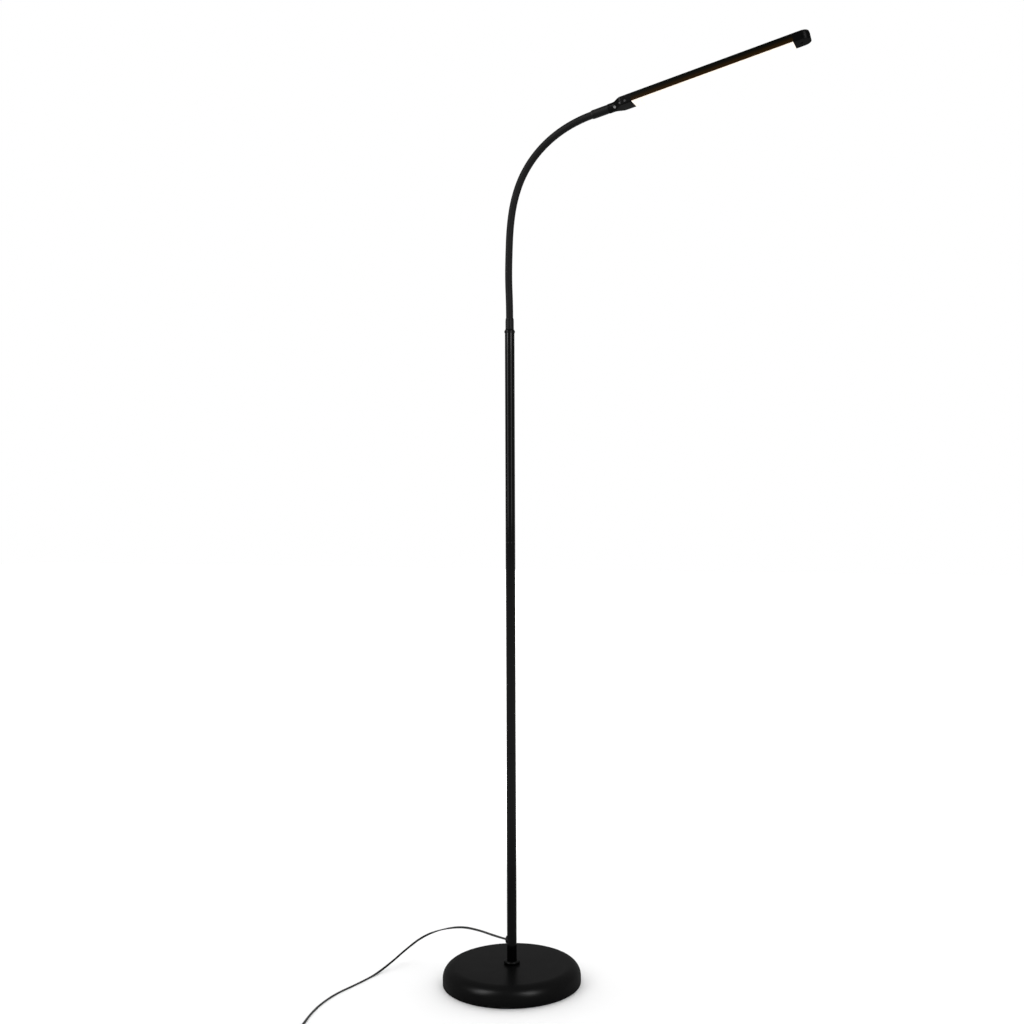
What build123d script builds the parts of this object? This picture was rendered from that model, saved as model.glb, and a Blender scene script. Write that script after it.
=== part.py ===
from build123d import *
import os
from math import cos, pi, radians, sin, tan

# Gooseneck reading floor lamp: a weighted round base, a three-piece pole, a flexible neck and a flat LED head.
# Millimetres, +Z up. The origin is the centre of the base's underside, on the floor. The head reaches out to +X.

# ---- clearances ----
FIT = 0.15            # radial clearance of parts pushed or screwed together
SLIP = 0.3            # clearance between neighbouring housings
PIN_FIT = 0.05        # radial clearance of moulded-in pins

# ---- base ----
BASE_R = 115.0
BASE_H = 31.6         # floor to the top of the cover
BASE_EDGE_R = 20.0    # big rounding of the cover's top edge
COVER_WALL = 1.5
RIM_GAP = 0.4         # the cover's rim stays this far off the floor
PAD_T = 2.5
PAD_INSET = 7.0       # the pad's edge lies this far inside the cover's
PLATE_T = 1.5
WEIGHT_CLEAR = 1.0    # inside the flat of the cover's top
WEIGHT_T = 13.0
BOSS_R = 7.0          # bosses under the weight that the bottom plate is screwed to
BOSS_INSET = 45.0     # from the cover's edge to the circle of bosses
BASE_SCREWS = 3
SCREW_R = 2.0
SCREW_HEAD_R = 3.8
SCREW_HEAD_T = 1.2
SCREW_L = 9.0

# ---- foot of the pole ----
STUD_R = 5.0
STUD_BORE_R = 3.0
STUD_REACH = 24.0     # how far the stud stands up inside the pole
STUD_TAIL = 1.5       # and how far it shows below the nut
INSERT_OVER = 4.0     # the pole's foot insert is this much taller than the stud
WASHER_R = 14.0
WASHER_T = 1.5
NUT_ACROSS = 17.0
NUT_T = 5.0
RING_R = 13.5
RING_H = 5.5
RING_EDGE_R = 2.4

# ---- pole ----
POLE_R = 8.0
POLE_WALL = 1.0
POLE_SECTIONS = 3
POLE_SECTION_L = 350.9
JOINER_L = 40.0
JOINER_BORE_R = 3.5
COLLAR_R = 8.9
COLLAR_SKIRT = 2.0    # how far the collar hangs down over the pole
COLLAR_CAP = 4.0      # how far it stands above the pole's end

# ---- lead through the pole and neck ----
WIRE_R = 1.4
WIRE_BEND_R = 4.0
GROMMET_Z = 70.5
GROMMET_R = 6.5
GROMMET_NOSE_R = 3.2
GROMMET_OUT = 2.8     # how far the grommet stands out from the pole
GROMMET_NECK_R = 3.2
GROMMET_INSIDE = 1.5  # how far its neck reaches in past the pole's wall
GROMMET_SADDLE = 4.0  # how far its sides wrap round the pole

# ---- flexible neck ----
NECK_R = 6.0
NECK_BORE_R = 2.2
LINK_L = 43.7         # length of neck between two bending points
LINK_TURNS = (2.3, -3.6, -1.5, -6.4, -11.9, -15.9, -15.0, -13.5, -11.5)
BALL_R = 4.8
BALL_BORE_R = 2.7     # the way for the lead through each ball
BALL_PLAY = 0.2
SHOULDER = 2.7        # the groove below each ball, which lets the next link tilt
FERRULE_R = 7.0
FERRULE_L = 18.7
FERRULE_TIP_R = 6.5
FERRULE_TAPER = 3.0
SEAT_DEPTH = 12.0     # how deep the neck's ends sit in their ferrules
SHANK_R = 5.0
SHANK_L = 20.0
HEAD_FERRULE_R = 7.2
HEAD_FERRULE_L = 30.0
HEAD_SHANK_L = 13.0

# ---- head ----
HEAD_W = 30.0
HEAD_T = 13.4
HEAD_LIFT = 1.1       # the head's middle lies this far above the neck's axis
HEAD_EDGE_R = 2.2
NECK_HOUSING_L = 41.8
FLARE_START = 8.0     # the control housing widens from here
FLARE_END = 25.0      # to here
FLARE_STEPS = 6
HOUSING_R = 7.6       # round end of the control housing
HOUSING_ROUND = 0.97  # its corner radius there, as a share of its half height
BAR_L = 265.3
BAR_WALL = 1.4
BAR_TOP_WALL = 1.6
TONGUE_L = 10.0
TONGUE_WALL = 1.2
POCKET_START = 14.0
POCKET_R = 4.6        # half height of the pocket in the control housing
CAP_L = 25.6
CAP_CORNER_R = 12.0
CAP_POCKET = 6.0      # how far the hollow of the cap's tongue runs on into the cap
CAP_POCKET_FLOOR = 2.5
DIFFUSER_PROUD = 1.0
DIFFUSER_INSET = 0.5
DIFFUSER_PLUG = 1.4
DIFFUSER_EDGE_R = 0.6
LED_BOARD_W = 24.0
LED_BOARD_T = 1.2
LED_COUNT = 30
LED_L = 3.5
LED_W = 2.8
LED_H = 0.8
LED_MARGIN = 12.0     # from the LED board's ends to the middle of the first and last LED
LED_SLOT = 1.0        # between the LEDs and the edge of the tray's slot
TRAY_MARGIN = 3.0     # from the pin header to the tray
TRAY_T = 0.8
TRAY_FLOOR_W = 12.0
CONTROL_BOARD_L = 41.0
CONTROL_BOARD_W = 10.4
CONTROL_BOARD_T = 1.2
CHIP_H = 1.4
CHIP_PLACES = (6.0, 17.0, 26.0)      # along the control board
CHIP_SIZES = (6.0, 4.0, 5.0)
HEADER_L = 3.0
HEADER_W = 6.0
KEY_PLACES = (11.7, 22.6, 31.6)      # along the control housing
KEY_RADII = (2.2, 1.5, 1.9)
KEY_DROPS = (3.4, 3.0, 2.6)          # below the middle of the housing's flank
KEY_PROUD = 0.5
KEY_DEPTH = 3.0
KEY_EDGE_R = 0.4
END_SCREW_X = 10.5    # past the bar's end
END_SCREW_R = 1.2
END_SCREW_HEAD_R = 2.2
END_SCREW_HEAD_T = 1.4
END_SCREW_L = 7.0
END_SCREW_SINK = 1.0
SLOT_L = 3.0          # the screw's cross slot
SLOT_W = 0.7
SLOT_DEPTH = 0.6

# ---- free lead, coil and plug-in adapter ----
CORD_R = 1.6
CORD_EXIT = (-POLE_R - GROMMET_OUT, 0.0, GROMMET_Z)
CORD_ROUTE = (
    (-30.0, 0.0, GROMMET_Z),
    (-62.0, 5.5, 77.5),
    (-99.0, 17.5, 72.5),
    (-148.0, 35.0, 59.0),
    (-190.0, 46.5, 37.5),
    (-213.0, 32.0, 17.0),
    (-221.0, -3.0, 7.0),
    (-229.0, -46.0, CORD_R),
    (-237.0, -97.0, CORD_R),
    (-249.0, -147.0, CORD_R),
    (-249.5, -194.0, CORD_R),
    (-242.5, -237.0, CORD_R),
    (-231.0, -276.0, CORD_R),
    (-222.5, -309.5, CORD_R),
)
COIL_TAIL = 26.0      # last straight run before the coil
LEAD_HEADING = 290.0  # direction in which the lead reaches the coil, degrees from +X
COIL_PITCH = 3.8      # from turn to turn, sideways and upwards
COIL_OUTER_R = 21.4
COIL_LAYERS = 4
TURNS_PER_LAYER = 3
COIL_END_RUN = 16.0
CLIMB = 0.25          # turns on either side of a reversal in which the tube climbs a layer
RELIEF_L = 20.0
RELIEF_R = 2.6
RELIEF_ROOT_R = 4.2
ADAPTER_L = 64.0
ADAPTER_W = 36.0
ADAPTER_T = 25.5
ADAPTER_EDGE_R = 4.0
PIN_R = 2.0
PIN_L = 19.0
PIN_ROOT = 5.0        # how deep the pins' roots sit in the adapter
PIN_SPACING = 19.0
PIN_FROM_END = 14.0
PIN_TIP_R = 1.0

# ---- levels worked out from the sizes above ----
COVER_UNDER = BASE_H - COVER_WALL
WEIGHT_UNDER = COVER_UNDER - WEIGHT_T
WEIGHT_R = BASE_R - BASE_EDGE_R - WEIGHT_CLEAR
PLATE_TOP = PAD_T + PLATE_T
PAD_R = BASE_R - PAD_INSET
BOSS_CIRCLE_R = BASE_R - BOSS_INSET
POLE_TOP = BASE_H + POLE_SECTIONS * POLE_SECTION_L
COLLAR_TOP = POLE_TOP + COLLAR_CAP
FERRULE_TOP = COLLAR_TOP + FERRULE_L
POLE_BORE_R = POLE_R - POLE_WALL
INSERT_R = POLE_BORE_R - FIT
HEAD_TOP = HEAD_LIFT + HEAD_T / 2
HEAD_UNDER = HEAD_LIFT - HEAD_T / 2
CHIN = HEAD_UNDER - DIFFUSER_PROUD
CHANNEL_W = HEAD_W - 2 * BAR_WALL
CHANNEL_TOP = HEAD_TOP - BAR_TOP_WALL
BAR_END = NECK_HOUSING_L + BAR_L


def save(shape, node):
    export_step(shape, f"parts/{node}.step")


def lathe(*outline):
    """A turned piece: (radius, height) points of its half section, spun about Z."""
    return revolve(Plane.XZ * make_face(Polyline(*outline, close=True)), Axis.Z)


def tube(outer, inner, low, high):
    wall = Pos(0, 0, low) * extrude(Circle(outer), high - low)
    return wall - Pos(0, 0, low - 1) * extrude(Circle(inner), high - low + 2)


def disc(radius, low, high):
    return Pos(0, 0, low) * extrude(Circle(radius), high - low)


def block(x0, x1, width, low, high):
    """A box from x0 to x1, centred across Y."""
    return Pos(x0, -width / 2, low) * Box(x1 - x0, width, high - low, align=(Align.MIN,) * 3)


# ---------------------------------------------------------------- base

def domed_disc(radius, low, high, edge):
    body = disc(radius, low, high)
    return fillet(body.edges().sort_by(Axis.Z)[-1], edge)


def base_cover():
    shell = domed_disc(BASE_R, RIM_GAP, BASE_H, BASE_EDGE_R)
    shell -= domed_disc(BASE_R - COVER_WALL, RIM_GAP - 5, COVER_UNDER, BASE_EDGE_R - COVER_WALL)
    return shell - disc(STUD_R + FIT, COVER_UNDER - 1, BASE_H + 1)


def boss_places():
    return [Rot(0, 0, i * 360 / BASE_SCREWS) * Pos(BOSS_CIRCLE_R, 0, 0) for i in range(BASE_SCREWS)]


def base_weight():
    weight = disc(WEIGHT_R, WEIGHT_UNDER, COVER_UNDER)
    weight = chamfer(weight.edges().sort_by(Axis.Z)[0], 2.0)
    weight += [p * disc(BOSS_R, PLATE_TOP, WEIGHT_UNDER) for p in boss_places()]
    weight -= disc(STUD_R + FIT, WEIGHT_UNDER - 1, BASE_H)
    for p in boss_places():
        weight -= p * disc(SCREW_R + FIT, PAD_T, PAD_T + SCREW_L + 1)
    return weight


def base_plate():
    plate = disc(BASE_R - COVER_WALL - SLIP, PAD_T, PLATE_TOP)
    for p in boss_places():
        plate -= p * disc(SCREW_R + FIT, PAD_T - 1, PLATE_TOP + 1)
        plate -= p * disc(SCREW_HEAD_R + FIT, PAD_T - 1, PAD_T + SCREW_HEAD_T)
    return plate


def base_screws():
    screw = disc(SCREW_HEAD_R, PAD_T, PAD_T + SCREW_HEAD_T) + disc(SCREW_R, PAD_T, PAD_T + SCREW_L)
    return Compound(children=[p * screw for p in boss_places()])


def base_pad():
    pad = disc(PAD_R, 0, PAD_T)
    return chamfer(pad.edges().sort_by(Axis.Z)[0], 0.6)


# ---------------------------------------------------------------- foot of the pole

def foot_washer():
    return tube(WASHER_R, STUD_R + FIT, WEIGHT_UNDER - WASHER_T, WEIGHT_UNDER)


def foot_nut():
    low = WEIGHT_UNDER - WASHER_T - NUT_T
    nut = Pos(0, 0, low) * extrude(RegularPolygon(NUT_ACROSS / 2, 6, major_radius=False), NUT_T)
    nut &= Pos(0, 0, low) * extrude(Circle(NUT_ACROSS / 2 * 1.11), NUT_T)
    return nut - disc(STUD_R + FIT, low - 1, WEIGHT_UNDER)


def foot_stud():
    low = WEIGHT_UNDER - WASHER_T - NUT_T - STUD_TAIL
    stud = tube(STUD_R, STUD_BORE_R, low, BASE_H + STUD_REACH)
    return chamfer(stud.edges().filter_by(GeomType.CIRCLE).group_by(SortBy.RADIUS)[-1], 0.6)


def foot_ring():
    ring = tube(RING_R, POLE_R + FIT, BASE_H, BASE_H + RING_H)
    outer = ring.edges().filter_by(GeomType.CIRCLE).group_by(SortBy.RADIUS)[-1]
    return fillet(outer, RING_EDGE_R)


def pole_foot_insert():
    return tube(INSERT_R, STUD_R + FIT, BASE_H, BASE_H + STUD_REACH + INSERT_OVER)


# ---------------------------------------------------------------- pole

def grommet_axis():
    return Plane(origin=(0, 0, GROMMET_Z), x_dir=(0, 1, 0), z_dir=(-1, 0, 0))


def pole_section(number):
    low = BASE_H + number * POLE_SECTION_L
    section = tube(POLE_R, POLE_BORE_R, low, low + POLE_SECTION_L)
    if number == 0:
        section -= grommet_axis() * disc(GROMMET_NECK_R + FIT, 0, 2 * POLE_R)
    return section


def pole_joiner(number):
    middle = BASE_H + number * POLE_SECTION_L
    joiner = tube(INSERT_R, JOINER_BORE_R, middle - JOINER_L / 2, middle + JOINER_L / 2)
    return chamfer(joiner.edges().filter_by(GeomType.CIRCLE).group_by(SortBy.RADIUS)[-1], 0.8)


def pole_top_insert():
    return tube(INSERT_R, SHANK_R + FIT, POLE_TOP - SHANK_L, POLE_TOP)


def pole_collar():
    """A turned trim ring: a skirt round the pole's end and a rounded lip above it."""
    low = POLE_TOP - COLLAR_SKIRT
    return lathe(
        (POLE_R + FIT, low),
        (POLE_R + 2 * FIT, low),
        (COLLAR_R, POLE_TOP - 0.4),
        (COLLAR_R, POLE_TOP + 0.8),
        (COLLAR_R - 0.5, POLE_TOP + 2.0),
        (FERRULE_R + 0.4, COLLAR_TOP),
        (SHANK_R + FIT, COLLAR_TOP),
        (SHANK_R + FIT, POLE_TOP),
        (POLE_R + FIT, POLE_TOP),
    )


def cord_grommet():
    tip = POLE_R + GROMMET_OUT
    body = lathe(
        (0, POLE_R - GROMMET_SADDLE),
        (GROMMET_R, POLE_R - GROMMET_SADDLE),
        (GROMMET_R, POLE_R + 0.6),
        (GROMMET_R - 0.7, POLE_R + GROMMET_OUT / 2),
        (GROMMET_NOSE_R + 0.6, tip - 0.7),
        (GROMMET_NOSE_R, tip),
        (0, tip),
    )
    body = grommet_axis() * body
    body -= disc(POLE_R + PIN_FIT, GROMMET_Z - 2 * GROMMET_R, GROMMET_Z + 2 * GROMMET_R)
    neck = disc(GROMMET_NECK_R, POLE_BORE_R - GROMMET_INSIDE, POLE_R + 1)
    body += grommet_axis() * neck
    return body - grommet_axis() * disc(WIRE_R + FIT, POLE_BORE_R - GROMMET_INSIDE - 1, tip - 1.5)


# ---------------------------------------------------------------- neck

def along(place, heading, length, turn):
    """The place and heading after an arc of that length and turn in the XZ plane."""
    half = radians(turn) / 2
    chord = length if abs(half) < 1e-9 else length * sin(half) / half
    middle = radians(heading) + half
    return (place[0] + chord * cos(middle), place[1] + chord * sin(middle)), heading + turn


def stations():
    """Where each link of the neck starts and which way it points, and the neck's end."""
    place, heading = (0.0, FERRULE_TOP), 90.0
    found = [(place, heading)]
    for turn in LINK_TURNS:
        place, heading = along(place, heading, LINK_L, turn)
        found.append((place, heading))
    return found


STATIONS = stations()
LINKS = len(LINK_TURNS)


def facing(place, heading):
    """A plane at that place in XZ whose normal points along the heading."""
    a = radians(heading)
    return Plane(origin=(place[0], 0, place[1]), x_dir=(0, 1, 0), z_dir=(cos(a), 0, sin(a)))


def arc_path(number, start, end):
    """The neck's centre line in one link, from start to end along it."""
    place, heading = STATIONS[number]
    rate = LINK_TURNS[number] / LINK_L
    points = [along(place, heading, s, s * rate)[0] for s in (start, (start + end) / 2, end)]
    points = [(p[0], 0, p[1]) for p in points]
    if abs(LINK_TURNS[number]) < 0.01:
        return Line(points[0], points[2])
    return ThreePointArc(*points)


def swept_link(number, section, start, end):
    place, heading = STATIONS[number]
    first = along(place, heading, start, start * LINK_TURNS[number] / LINK_L)
    return sweep(facing(*first) * section, path=arc_path(number, start, end))


def neck_link(number):
    """A length of neck: a socket at its lower end and a ball at its upper end."""
    first, last = number == 0, number == LINKS - 1
    bottom, top = facing(*STATIONS[number]), facing(*STATIONS[number + 1])
    link = swept_link(number, Circle(NECK_R), 0, LINK_L if last else LINK_L - SHOULDER)
    bore = swept_link(number, Circle(NECK_BORE_R), 0, LINK_L if last else LINK_L - BALL_R + 1)
    link += top * (disc(NECK_R, 0, SEAT_DEPTH) if last else Sphere(BALL_R))
    link -= bore
    link -= top * disc(NECK_BORE_R if last else BALL_BORE_R, 0 if last else -BALL_R, SEAT_DEPTH)
    if first:
        return link + bottom * tube(NECK_R, NECK_BORE_R, -SEAT_DEPTH, 0)
    return link - bottom * Sphere(BALL_R + BALL_PLAY)


def neck_wire(number):
    """The lead inside one link, from just past the ball below it to just inside its own ball."""
    return swept_link(number, Circle(WIRE_R), BALL_R + 0.4, LINK_L) + \
        facing(*STATIONS[number + 1]) * disc(WIRE_R, 0, BALL_R - 0.4)


def pole_wire():
    """The lead from the grommet up the pole, through the first ferrule and link."""
    inside = -(POLE_BORE_R - GROMMET_INSIDE - 0.3)
    path = FilletPolyline((inside, 0, GROMMET_Z), (0, 0, GROMMET_Z), (0, 0, FERRULE_TOP),
                          radius=WIRE_BEND_R)
    start = Plane(origin=(inside, 0, GROMMET_Z), x_dir=(0, 1, 0), z_dir=(1, 0, 0))
    wire = sweep(start * Circle(WIRE_R), path=path)
    wire += swept_link(0, Circle(WIRE_R), 0, LINK_L)
    return wire + facing(*STATIONS[1]) * disc(WIRE_R, 0, BALL_R - 0.4)


def neck_ferrule():
    return lathe(
        (SHANK_R, POLE_TOP - SHANK_L),
        (SHANK_R, COLLAR_TOP),
        (FERRULE_R, COLLAR_TOP),
        (FERRULE_R, FERRULE_TOP - FERRULE_TAPER),
        (FERRULE_TIP_R, FERRULE_TOP),
        (NECK_R + FIT, FERRULE_TOP),
        (NECK_R + FIT, FERRULE_TOP - SEAT_DEPTH),
        (NECK_BORE_R + 0.3, FERRULE_TOP - SEAT_DEPTH),
        (NECK_BORE_R + 0.3, POLE_TOP - SHANK_L),
    )


# ---------------------------------------------------------------- head

HEAD_START, HEAD_TILT = STATIONS[-1]
HEAD_ORIGIN = along(HEAD_START, HEAD_TILT, HEAD_FERRULE_L, 0)[0]
HEAD_PLANE = Plane(origin=(HEAD_ORIGIN[0], 0, HEAD_ORIGIN[1]),
                   x_dir=(cos(radians(HEAD_TILT)), 0, sin(radians(HEAD_TILT))),
                   z_dir=(-sin(radians(HEAD_TILT)), 0, cos(radians(HEAD_TILT))))
LENGTHWISE = Plane(origin=(0, 0, 0), x_dir=(0, 1, 0), z_dir=(1, 0, 0))    # sections across the head


def head_ferrule():
    sleeve = lathe(
        (NECK_R + FIT, 0),
        (FERRULE_TIP_R + 0.2, 0),
        (HEAD_FERRULE_R, FERRULE_TAPER),
        (HEAD_FERRULE_R, HEAD_FERRULE_L),
        (SHANK_R, HEAD_FERRULE_L),
        (SHANK_R, HEAD_FERRULE_L + HEAD_SHANK_L),
        (NECK_BORE_R + 0.3, HEAD_FERRULE_L + HEAD_SHANK_L),
        (NECK_BORE_R + 0.3, SEAT_DEPTH),
        (NECK_R + FIT, SEAT_DEPTH),
    )
    return facing(*STATIONS[-1]) * sleeve


def flare(x):
    """How far the control housing has changed from round to flat at x, from 0 to 1."""
    t = min(1.0, max(0.0, (x - FLARE_START) / (FLARE_END - FLARE_START)))
    return t * t * (3 - 2 * t)


def housing_section(x):
    """(half width, half height, middle height, corner radius) of the control housing at x."""
    t = flare(x)
    half_height = HOUSING_R + ((HEAD_TOP - CHIN) / 2 - HOUSING_R) * t
    half_width = HOUSING_R + (HEAD_W / 2 - HOUSING_R) * t
    corner = HOUSING_ROUND * HOUSING_R + (HEAD_EDGE_R - HOUSING_ROUND * HOUSING_R) * t
    return half_width, half_height, (HEAD_TOP + CHIN) / 2 * t, corner


def housing_face(x):
    half_width, half_height, middle, corner = housing_section(x)
    at = Plane(origin=(x, 0, middle), x_dir=(0, 1, 0), z_dir=(1, 0, 0))
    return at * RectangleRounded(2 * half_width, 2 * half_height, corner)


def key_axis(number):
    """A plane on the housing's near flank, where that key is, whose normal points out."""
    x, drop = KEY_PLACES[number], KEY_DROPS[number]
    half_width, half_height, middle, corner = housing_section(x)
    round_the_corner = max(0, drop - (half_height - corner))
    out = half_width - corner + (corner ** 2 - round_the_corner ** 2) ** 0.5
    down = round_the_corner / corner
    return Plane(origin=(x, -out, middle - drop), x_dir=(1, 0, 0),
                 z_dir=(0, -(1 - down ** 2) ** 0.5, -down))


def control_housing():
    step = (FLARE_END - FLARE_START) / FLARE_STEPS
    body = loft([housing_face(FLARE_START + i * step) for i in range(FLARE_STEPS + 1)])
    body += extrude(housing_face(0), FLARE_START)
    body += extrude(housing_face(FLARE_END), NECK_HOUSING_L - FLARE_END)
    tongue_low = HEAD_UNDER + DIFFUSER_PLUG + SLIP
    body += block(NECK_HOUSING_L - 1, NECK_HOUSING_L + TONGUE_L, CHANNEL_W - 2 * FIT,
                  tongue_low, CHANNEL_TOP - FIT)
    body -= LENGTHWISE * disc(SHANK_R + FIT, -1, POCKET_START + 1)
    body -= block(POCKET_START, NECK_HOUSING_L + TONGUE_L + 1, CONTROL_BOARD_W + 2 * SLIP,
                  -POCKET_R, POCKET_R)
    for number, radius in enumerate(KEY_RADII):
        body -= key_axis(number) * disc(radius + FIT, -KEY_DEPTH, KEY_DEPTH)
    return body


def key(number):
    """A touch key: a slightly domed round pad let into the housing's flank."""
    pad = disc(KEY_RADII[number], -KEY_DEPTH, KEY_PROUD)
    pad = fillet(pad.edges().sort_by(Axis.Z)[-1], KEY_EDGE_R)
    return key_axis(number) * pad


def control_board():
    start = POCKET_START + SLIP
    board = block(start, start + CONTROL_BOARD_L, CONTROL_BOARD_W, -CONTROL_BOARD_T, 0)
    for place, size in zip(CHIP_PLACES, CHIP_SIZES):
        board += block(start + place, start + place + size, size, 0, CHIP_H)
    return board


def board_header():
    """The pin header that joins the control board to the LED board."""
    end = POCKET_START + SLIP + CONTROL_BOARD_L
    return block(end - HEADER_L, end, HEADER_W, 0, CHANNEL_TOP - LED_BOARD_T)


def head_wire():
    wire = swept_link(LINKS - 1, Circle(WIRE_R), BALL_R + 0.4, LINK_L)
    wire += facing(*STATIONS[-1]) * disc(WIRE_R, 0, HEAD_FERRULE_L + POCKET_START - FIT)
    return wire


def bar_housing():
    """The head's long black channel: top and side walls, open below."""
    outer = Pos(0, HEAD_LIFT) * Rectangle(HEAD_W, HEAD_T)
    outer = fillet(outer.vertices().group_by(Axis.Y)[-1], HEAD_EDGE_R)
    depth = CHANNEL_TOP - HEAD_UNDER
    inner = Pos(0, HEAD_UNDER + depth / 2 - 1) * Rectangle(CHANNEL_W, depth + 2)
    section = LENGTHWISE * (outer - inner)
    return Pos(NECK_HOUSING_L, 0, 0) * extrude(section, BAR_L)


def led_board():
    return block(NECK_HOUSING_L + TONGUE_L + SLIP, BAR_END - TONGUE_L - SLIP, LED_BOARD_W,
                 CHANNEL_TOP - LED_BOARD_T, CHANNEL_TOP)


def led_chips():
    """A row of LED packages along the underside of their board."""
    first = NECK_HOUSING_L + TONGUE_L + SLIP + LED_MARGIN
    pitch = (BAR_END - TONGUE_L - SLIP - LED_MARGIN - first) / (LED_COUNT - 1)
    high = CHANNEL_TOP - LED_BOARD_T
    chips = [block(first + i * pitch - LED_L / 2, first + i * pitch + LED_L / 2, LED_W, high - LED_H, high)
             for i in range(LED_COUNT)]
    return Compound(children=chips)


def light_tray():
    """The white reflector: a slot round the LED row, and walls that slope out to the diffuser."""
    high = CHANNEL_TOP - LED_BOARD_T - SLIP
    low = HEAD_UNDER + DIFFUSER_PLUG + SLIP
    half = CHANNEL_W / 2 - FIT
    inner = TRAY_FLOOR_W / 2
    side = make_face(Polyline(
        (LED_W / 2 + LED_SLOT, high), (inner, high), (half, low + 1.5), (half, low),
        (half - TRAY_T, low), (inner - TRAY_T, high - TRAY_T), (LED_W / 2 + LED_SLOT, high - TRAY_T), close=True))
    ends = [block(x, x + TRAY_T, 2 * half - 1, high - TRAY_T, high)
            for x in (NECK_HOUSING_L + TONGUE_L + HEADER_L + TRAY_MARGIN, BAR_END - TONGUE_L - SLIP - TRAY_T)]
    length = ends[1].bounding_box().max.X - ends[0].bounding_box().min.X
    start = ends[0].bounding_box().min.X
    both = LENGTHWISE * (side + mirror(side, Plane.YZ))
    tray = Pos(start, 0, 0) * extrude(both, length)
    for e in ends:
        tray += e
    return tray


def diffuser():
    """The opal cover: a plug that clips into the channel and a flange that covers the walls."""
    start, end = NECK_HOUSING_L + SLIP, BAR_END - SLIP
    flange = block(start, end, HEAD_W - 2 * DIFFUSER_INSET, CHIN, HEAD_UNDER)
    flange = fillet(flange.edges().filter_by(Axis.X).group_by(Axis.Z)[0], DIFFUSER_EDGE_R)
    return flange + block(start, end, CHANNEL_W - 2 * FIT, HEAD_UNDER - 0.2, HEAD_UNDER + DIFFUSER_PLUG)


def end_cap():
    """The rounded tip, with a tongue in the channel and a counterbored screw from below."""
    plan = Pos(BAR_END + CAP_L / 2 - CAP_CORNER_R, 0) * Rectangle(CAP_L + 2 * CAP_CORNER_R, HEAD_W)
    plan = fillet(plan.vertices().group_by(Axis.X)[-1], CAP_CORNER_R)
    cap = Pos(0, 0, CHIN) * extrude(plan, HEAD_TOP - CHIN)
    cap &= block(BAR_END, BAR_END + CAP_L + 1, HEAD_W + 2, CHIN - 1, HEAD_TOP + 1)
    rim = cap.faces().sort_by(Axis.Z)[-1].edges().filter_by(lambda e: e.center().X > BAR_END + 0.01)
    cap = fillet(rim, HEAD_EDGE_R)
    low_rim = cap.faces().sort_by(Axis.Z)[0].edges().filter_by(lambda e: e.center().X > BAR_END + 0.01)
    cap = fillet(low_rim, 1.0)
    cap += block(BAR_END - TONGUE_L, BAR_END + 1, CHANNEL_W - 2 * FIT,
                 HEAD_UNDER + DIFFUSER_PLUG + SLIP, CHANNEL_TOP - FIT)
    cap -= block(BAR_END - TONGUE_L - 1, BAR_END + CAP_POCKET, CHANNEL_W - 4 * TONGUE_WALL, -CAP_POCKET_FLOOR, POCKET_R)
    at = Pos(BAR_END + END_SCREW_X, 0, CHIN)
    cap -= at * disc(END_SCREW_HEAD_R + FIT, -1, END_SCREW_SINK + END_SCREW_HEAD_T)
    return cap - at * disc(END_SCREW_R + FIT, 0, END_SCREW_SINK + END_SCREW_L + SLIP)


def end_screw():
    head = disc(END_SCREW_HEAD_R, END_SCREW_SINK, END_SCREW_SINK + END_SCREW_HEAD_T)
    slot = Pos(0, 0, END_SCREW_SINK) * (Box(SLOT_L, SLOT_W, 2 * SLOT_DEPTH) + Box(SLOT_W, SLOT_L, 2 * SLOT_DEPTH))
    shank = disc(END_SCREW_R, END_SCREW_SINK, END_SCREW_SINK + END_SCREW_L)
    return Pos(BAR_END + END_SCREW_X, 0, CHIN) * (head + shank - slot)


# ---------------------------------------------------------------- free lead, coil and adapter

def heading_vector():
    return Vector(cos(radians(LEAD_HEADING)), sin(radians(LEAD_HEADING)), 0)


COIL_ENTRY = Vector(*CORD_ROUTE[-1]) + heading_vector() * COIL_TAIL
COIL_CENTRE = COIL_ENTRY + heading_vector().rotate(Axis.Z, 90) * COIL_OUTER_R


def cord_points():
    """From the grommet to the face of the coil's lead-in, which is one diameter long."""
    end = COIL_ENTRY - heading_vector() * 2 * CORD_R
    return [Vector(*CORD_EXIT)] + [Vector(*p) for p in CORD_ROUTE] + [end]


def corner_radii(points):
    """The largest arc that each corner's shorter run has room for."""
    radii = []
    for a, b, c in zip(points, points[1:], points[2:]):
        turn = (b - a).get_angle(c - b)
        shorter = min((b - a).length, (c - b).length)
        radii.append(0.45 * shorter / tan(radians(turn / 2)))
    return radii


def cord():
    points = cord_points()
    radii = corner_radii(points)
    path = FilletPolyline(*points, radius=radii)
    start = Plane(origin=points[0], z_dir=points[1] - points[0])
    tube_of_cord = sweep(start * Circle(CORD_R), path=path)
    print("cord runs:", [round((b - a).length, 1) for a, b in zip(points, points[1:])])
    print("cord corner radii:", [round(r, 1) for r in radii])
    print("cord length", round(path.length, 1), "volume / (section x length)",
          round(tube_of_cord.volume / (pi * CORD_R ** 2 * path.length), 4))
    return tube_of_cord


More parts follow.
